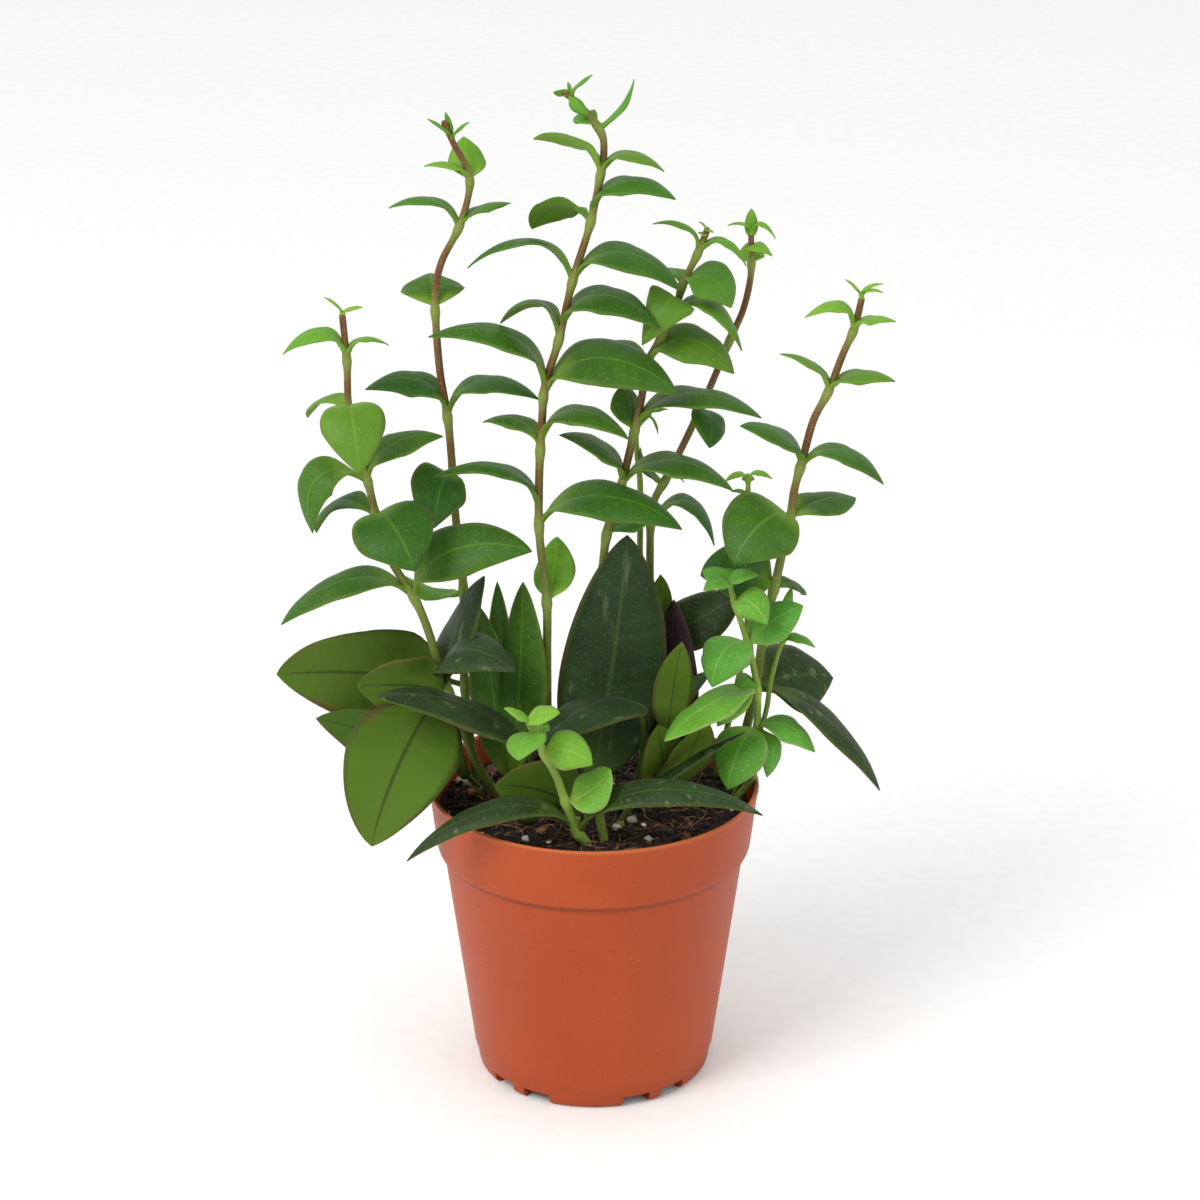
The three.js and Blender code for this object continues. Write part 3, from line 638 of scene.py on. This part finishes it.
# ---- The pot ----
def make_pot(look):
    profile = [
        (0, 0), (BASE_R - 1.4 * MM, 0), (BASE_R, 1.2 * MM), (SEAM_R - 0.35 * MM, SEAM_Z),
        (SEAM_R + 0.1 * MM, SEAM_Z + 0.5 * MM), (WALL_TOP_R, BAND_Z - 0.6 * MM),
        (BAND_R - 0.6 * MM, BAND_Z - 0.4 * MM), (BAND_R, BAND_Z + 1.5 * MM),
        (RIM_R - 0.4 * MM, POT_HEIGHT - 1.6 * MM), (RIM_R, POT_HEIGHT - 0.8 * MM),
        (RIM_R - 0.6 * MM, POT_HEIGHT), (RIM_R - 1.6 * MM, POT_HEIGHT - 0.6 * MM),
        (BAND_R - WALL, BAND_Z + 2 * MM), (WALL_TOP_R - WALL, BAND_Z - 0.6 * MM),
        (SEAM_R - WALL - 0.35 * MM, SEAM_Z), (BASE_R - WALL, FLOOR), (0, FLOOR),
    ]
    shape = Shape()
    shape.add(*lathe(rounded(profile, 0.8 * MM), 160))
    pot = shape.piece("pot_shell", [look], "pot_plastic", "pot")
    cutter = bpy.data.meshes.new("notches")
    boxes = bmesh.new()
    for group in range(NOTCH_GROUPS):
        for side in (-0.5, 0.5):
            angle = NOTCH_TURN + 360 / NOTCH_GROUPS * group + side * NOTCH_APART
            size = Matrix.Diagonal((NOTCH_DEPTH, NOTCH_WIDTH, 2 * NOTCH_HEIGHT, 1))
            out = Matrix.Translation((BASE_R + 2.5 * MM - NOTCH_DEPTH / 2, 0, 0))
            spin = Matrix.Rotation(math.radians(angle), 4, "Z")
            bmesh.ops.create_cube(boxes, size=1, matrix=spin @ out @ size)
    boxes.to_mesh(cutter)
    boxes.free()
    tool = bpy.data.objects.new("notches", cutter)
    bpy.context.collection.objects.link(tool)
    cut = pot.modifiers.new("notches", "BOOLEAN")
    cut.object = tool
    cut.operation = "DIFFERENCE"
    cut.solver = "EXACT"
    carved = pot.evaluated_get(bpy.context.evaluated_depsgraph_get())
    mesh = bpy.data.meshes.new_from_object(carved)
    pot.modifiers.clear()
    pot.data = mesh
    mesh.polygons.foreach_set("use_smooth", [True] * len(mesh.polygons))
    mesh.set_sharp_from_angle(angle=math.radians(35))
    bpy.data.objects.remove(tool)


# ---- The soil ----
def soil_height(x, y):
    """The top of the soil: low lumps and finer crumbs, a little lower along the wall."""
    r = math.hypot(x, y)
    z = SOIL_Z - 0.4 * MM - 1.6 * MM * smooth(r, 34 * MM, SOIL_R)
    z += 1.1 * MM * noise.noise(Vector((x, y, 0)) * 70)
    z += 0.7 * MM * noise.noise(Vector((x, y, 3)) * 210)
    return z + 0.4 * MM * noise.noise(Vector((x, y, 7)) * 600)


def make_soil(look):
    segments, rings = 180, 60
    points = [Vector((0, 0, SOIL_BOTTOM))]
    sides = [(BASE_R - WALL - 1.4 * MM, SOIL_BOTTOM), (SEAM_R - WALL - CLEAR, SEAM_Z),
             (WALL_TOP_R - WALL - CLEAR, BAND_Z - 0.6 * MM),
             (BAND_R - WALL - CLEAR, BAND_Z + 2 * MM), (SOIL_R - 0.3 * MM, SOIL_Z - 4 * MM)]
    turns = [2 * math.pi * k / segments for k in range(segments)]
    for radius, z in sides:
        points += [Vector((radius * math.cos(a), radius * math.sin(a), z)) for a in turns]
    for ring in range(rings):
        radius = SOIL_R * (1 - ring / rings)
        for a in turns:
            x, y = radius * math.cos(a), radius * math.sin(a)
            points.append(Vector((x, y, soil_height(x, y))))
    points.append(Vector((0, 0, soil_height(0, 0))))
    faces = []
    total = len(sides) + rings
    for k in range(segments):
        n = (k + 1) % segments
        faces.append((0, 1 + n, 1 + k))
        for ring in range(total - 1):
            a, b = 1 + ring * segments, 1 + (ring + 1) * segments
            faces.append((a + k, a + n, b + n, b + k))
        top = 1 + (total - 1) * segments
        faces.append((top + k, top + n, len(points) - 1))
    shape = Shape()
    shape.add(points, faces, grain=[(0.4, 0, 0)] * len(points))
    shape.piece("soil_body", [look], "potting_soil", "soil")


def lump(subdivisions):
    """The points and faces of a unit ball."""
    ball = bmesh.new()
    bmesh.ops.create_icosphere(ball, subdivisions=subdivisions, radius=1)
    points = [v.co.copy() for v in ball.verts]
    faces = [tuple(v.index for v in f.verts) for f in ball.faces]
    ball.free()
    return points, faces


def scatter(name, look, count, sizes, flat, seed, subdivisions=1, centre=None, spread=0.0):
    """Lumps on the soil. sizes is the range of lengths, flat how thick and wide they are."""
    rng = random.Random(seed)
    ball, faces = lump(subdivisions)
    shape = Shape()
    for _ in range(count):
        if centre:
            x, y = rng.gauss(centre[0], spread) * MM, rng.gauss(centre[1], spread) * MM
        else:
            r, a = (SOIL_R - 2 * MM) * math.sqrt(rng.random()), rng.uniform(0, 2 * math.pi)
            x, y = r * math.cos(a), r * math.sin(a)
        if math.hypot(x, y) > SOIL_R - 1.5 * MM:
            continue
        size = rng.uniform(*sizes) * MM / 2
        spin = Matrix.Rotation(rng.uniform(0, 6.28), 3, "Z")
        spin @= Matrix.Rotation(rng.uniform(-0.5, 0.5), 3, "X")
        shift = Vector((rng.random() * 50, rng.random() * 50, rng.random() * 50))
        stretch = Vector((1, rng.uniform(*flat), rng.uniform(*flat) * 0.8))
        foot = Vector((x, y, soil_height(x, y) + 0.3 * size * stretch.z))
        points = []
        for p in ball:
            q = p * (1 + 0.55 * noise.noise(p * 1.7 + shift))
            q = Vector((q.x * stretch.x, q.y * stretch.y, q.z * stretch.z))
            points.append(foot + spin @ q * size)
        shape.add(points, faces, grain=[(rng.random(), 0, 0)] * len(points))
    made = shape.piece(name, [look], "potting_soil")
    made.data.polygons.foreach_set("use_smooth", [subdivisions > 1] * len(made.data.polygons))


def add_fibre(shape, points, radius, seed):
    """A thin root or husk fibre through the given points."""
    at = spline([tuple(p / MM) for p in points])
    rings, sides = 14, 5
    made = []
    for ring in range(rings):
        place, tangent = at(ring / (rings - 1))
        across = tangent.cross(Vector((0.1, 0.2, 1))).normalized()
        out = across.cross(tangent)
        r = radius * (1 - 0.5 * ring / rings)
        for k in range(sides):
            angle = 2 * math.pi * k / sides
            made.append(place + r * (math.cos(angle) * across - math.sin(angle) * out))
    shape.add(made, ring_faces(rings, sides), grain=[(seed, 0, 0)] * len(made))


def make_fibres(look):
    rng = random.Random(5)
    shape = Shape()
    for _ in range(130):
        r, a = (SOIL_R - 7 * MM) * math.sqrt(rng.random()), rng.uniform(0, 2 * math.pi)
        x, y, heading = r * math.cos(a), r * math.sin(a), rng.uniform(0, 6.28)
        length = rng.uniform(2, 6) * MM
        points = []
        for _ in range(5):
            if math.hypot(x, y) > SOIL_R - 2 * MM:
                break
            z = soil_height(x, y) + rng.uniform(0.1, 1.6) * MM
            points.append(Vector((x, y, z)))
            heading += rng.uniform(-0.9, 0.9)
            x += length * math.cos(heading)
            y += length * math.sin(heading)
        if len(points) > 2:
            add_fibre(shape, points, rng.uniform(0.12, 0.32) * MM, rng.random())
    shape.piece("root_fibres", [look], "potting_soil")


# ---- The plant ----
def make_plant(looks):
    up = Vector((0, 0, 1))
    for number, (name, (route, diameters, pairs, small)) in enumerate(STEMS.items()):
        at = stem_curve(route)
        top = route[-1][2]
        heights = [group[0] * MM for group in [*pairs, *small[:-1]]]
        shoot = name.startswith("shoot")
        shape = Shape()
        add_stem(shape, at, diameters, heights, 11 * number + 3)
        for row, (z, *leaves) in enumerate(small):
            foot, tangent = at(share_at(at, z * MM))
            for k, leaf in enumerate(leaves):
                youth = 0.1 if name == "shoot_11" else smooth(z, top - 40, top)
                add_leaf(shape, foot, leaf, tangent, 1, 1000 * number + 10 * z + k, youth)
        stem_look = looks["green_stem"] if shoot else looks["stem"]
        minty = name in ("shoot_9", "shoot_11", "shoot_12")
        leaf_look = looks["mint_leaf"] if minty else looks["young_leaf"]
        slot = "green_stem" if shoot else "stem"
        shape.piece(f"{name}_grown", [stem_look, leaf_look], slot, name)
        for z, *leaves in pairs:
            foot, tangent = at(share_at(at, z * MM))
            shape = Shape()
            low = z < 140
            for k, leaf in enumerate(leaves):
                youth = 0.0 if low else smooth(z, top - 75, top)
                add_leaf(shape, foot, leaf, tangent, 0, 1000 * number + 10 * z + k, youth)
            look = looks["old_leaf"] if low else looks["leaf"]
            node = f"{name}_leaves_{z}"
            shape.piece(f"{node}_grown", [look], "old_leaf" if low else "leaf", node)
    for number, (name, ((x, y), *leaves)) in enumerate(BASAL.items()):
        shape = Shape()
        blade = looks["leaf"] if name == "basal_tuft" else looks["old_leaf"]
        at = spline([(x, y, ROOT_Z), (x, y, SOIL_Z / MM), (x, y, SOIL_Z / MM + 2.5)])
        add_stem(shape, at, (2.6, 2.2), [], number, 1)
        for k, leaf in enumerate(leaves):
            foot = Vector((x, y, SOIL_Z / MM + 2)) * MM
            add_leaf(shape, foot, leaf, up, 2 if name == "basal_dark" and k == 0 else 0,
                     77 * number + 5 * k + 9, 0.0)
        shape.piece(f"{name}_grown", [blade, looks["green_stem"], looks["purple_leaf"]],
                    "old_leaf", name)


# ---- The stage ----
CAMERA_PLACE = (0.0019, -1.0992, 0.5947)
CAMERA_DOWN = 21.95  # degrees that the camera looks down


def area_light(name, place, target, size, power, color):
    lamp = bpy.data.lights.new(name, "AREA")
    lamp.shape = "RECTANGLE"
    lamp.size, lamp.size_y = size
    lamp.energy = power
    lamp.color = color
    made = bpy.data.objects.new(name, lamp)
    made.location = place
    made.rotation_euler = (Vector(target) - Vector(place)).to_track_quat("-Z", "Y").to_euler()
    bpy.context.collection.objects.link(made)


def make_stage():
    look = Look("floor_paper")
    fine = look.noise(180, 4)
    color = look.mix(look.step(fine, 0.3, 0.7), srgb("f4f4f3"), srgb("f7f7f6"))
    paper = look.finish(color, look.step(fine, 0.2, 0.8, 0.75, 0.85), fine, 0.03 * MM)
    mesh = bpy.data.meshes.new("floor")
    side = 4.0
    corners = [(-side, -side, 0), (side, -side, 0), (side, side, 0), (-side, side, 0)]
    mesh.from_pydata(corners, [], [(0, 1, 2, 3)])
    mesh.materials.append(paper)
    floor = bpy.data.objects.new("floor", mesh)
    bpy.context.collection.objects.link(floor)

    world = bpy.data.worlds.new("pale_room")
    world.use_nodes = True
    sky = world.node_tree.nodes["Background"]
    sky.inputs["Color"].default_value = (0.98, 0.98, 0.98, 1)
    sky.inputs["Strength"].default_value = 0.93
    bpy.context.scene.world = world
    area_light("key", (-0.9, -0.9, 1.3), (0, 0, 0.15), (0.8, 0.8), 17, (1.0, 0.98, 0.95))
    area_light("fill", (1.1, -0.8, 0.7), (0, 0, 0.15), (0.8, 0.8), 2.5, (0.93, 0.96, 1.0))

    camera = bpy.data.objects.new("camera", bpy.data.cameras.new("camera"))
    camera.data.lens = 120
    camera.data.sensor_width = 36
    camera.location = CAMERA_PLACE
    camera.rotation_euler = (math.radians(90 - CAMERA_DOWN), 0, 0)
    bpy.context.collection.objects.link(camera)
    bpy.context.scene.camera = camera
    bpy.context.scene.view_settings.view_transform = "Standard"


looks = {name: leaf_material(name) for name in LEAF_LOOKS}
looks["stem"] = stem_material("stem", "693a22", "7a923c", "66752d")
looks["green_stem"] = stem_material("green_stem", "7c9838", "8fac48", "728a34")
soil_look = grain_material("potting_soil", "140c08", "33221a", 0.95, 0.6 * MM)
make_pot(pot_material())
make_soil(soil_look)
scatter("soil_crumbs", soil_look, 1500, (1.0, 3.6), (0.5, 1.0), 1)
scatter("bark_chips", grain_material("bark", "3a2414", "8a5f3c", 0.85, 0.4 * MM), 70, (3, 9),
        (0.25, 0.55), 2)
scatter("perlite_grains", grain_material("perlite", "cfc4ad", "efe8d8", 0.8, 0.3 * MM), 26,
        (1.6, 4.2), (0.7, 1.0), 3, 2)
make_fibres(grain_material("fibre", "4d3220", "8d6b48", 0.8, 0.1 * MM))
make_plant(looks)
make_stage()
